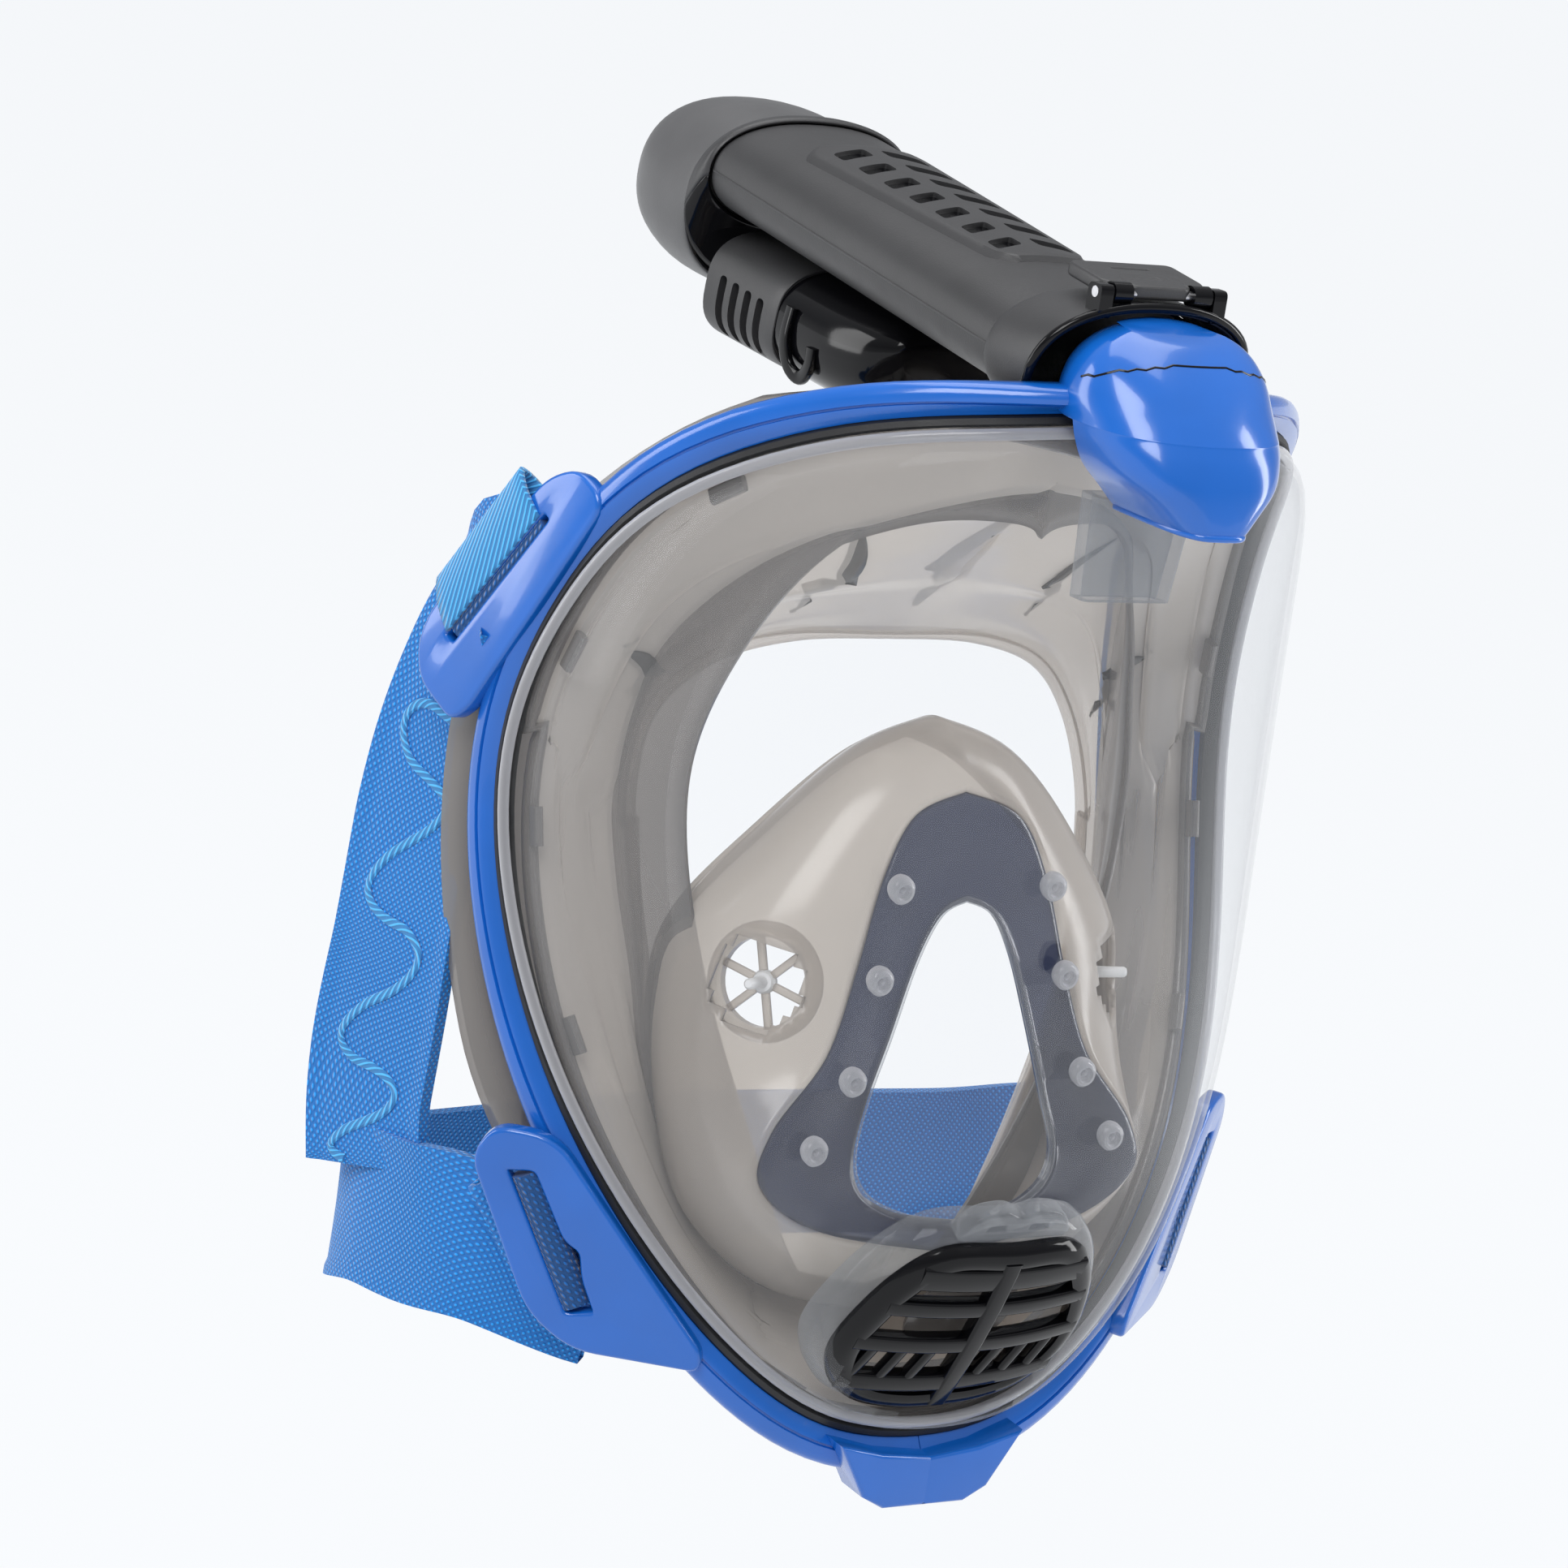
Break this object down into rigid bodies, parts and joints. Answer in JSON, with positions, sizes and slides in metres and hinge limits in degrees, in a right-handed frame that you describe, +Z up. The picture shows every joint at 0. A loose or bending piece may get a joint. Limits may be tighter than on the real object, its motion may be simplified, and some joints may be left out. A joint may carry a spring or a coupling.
{
  "type": "snorkel mask",
  "caption": "Full-face snorkel mask: wrapped clear lens in a two-part frame, soft face skirt with nose pocket, chin drain valve, head harness and a tilting dry-top snorkel.",
  "frame": {"origin": "midway between the temples, at the middle of the opening that the face fills", "axes": "+X to the wearer's left, -Y forward out of the lens, +Z up"},
  "size_m": [0.2436, 0.2385, 0.296],
  "materials": {
    "frame": "polished",
    "clear": "polished",
    "silicone": "smoky translucent",
    "arch": "translucent",
    "gasket": "matt",
    "black": "polished",
    "grey": "satin",
    "webbing": "knitted",
    "valve": "matt",
    "seat": "satin",
    "float": "matt",
    "steel": "bright"
  },
  "bodies": {
    "mask": {"frame_right": "frame", "frame_left": "frame", "lens": "clear", "lens_gasket": "gasket", "skirt": "silicone", "nose_pocket": "silicone", "arch_frame": "arch", "arch_studs": "clear", "right_valve_seat": "seat", "left_valve_seat": "seat", "chin_valve_body": "clear", "chin_grille": "black", "duct_box": "clear", "elbow": "frame", "strap_side_right": "webbing", "strap_side_left": "webbing", "strap_lower": "webbing", "frame_screws": "steel"},
    "snorkel": {"snorkel_tube": "grey", "snorkel_collar": "grey", "latch_pin": "black", "tube_panel": "grey", "waist_band": "black", "snorkel_cap": "grey", "float_housing": "black", "float_seat": "gasket"},
    "latch": {"latch": "grey"},
    "float": {"float_body": "float", "float_seal": "gasket"},
    "chin_flap": {"chin_flap": "valve"},
    "right_flap": {"right_valve_flap": "valve"},
    "left_flap": {"left_valve_flap": "valve"}
  },
  "joints": [
    {"name": "snorkel_tilt", "type": "hinge", "parent": "mask", "child": "snorkel", "pos_m": [0, -0.095, 0.122], "axis": [1, 0, 0], "range_deg": [0, 35]},
    {"name": "latch_open", "type": "hinge", "parent": "snorkel", "child": "latch", "pos_m": [0, -0.09182, 0.14269], "axis": [1, 0, 0], "range_deg": [0, 95]},
    {"name": "float_lift", "type": "slide", "parent": "snorkel", "child": "float", "axis": [0, 0.9936, 0.1132], "range_m": [0, 0.007]},
    {"name": "chin_flap_lift", "type": "slide", "parent": "mask", "child": "chin_flap", "axis": [0, -0.891, -0.454], "range_m": [0, 0.002], "stiffness_N_per_m": 20},
    {"name": "right_flap_lift", "type": "slide", "parent": "mask", "child": "right_flap", "axis": [-0.8798, -0.4599, 0.12], "range_m": [0, 0.0015], "stiffness_N_per_m": 20},
    {"name": "left_flap_lift", "type": "slide", "parent": "mask", "child": "left_flap", "axis": [0.8798, -0.4599, 0.12], "range_m": [0, 0.0015], "stiffness_N_per_m": 20}
  ]
}
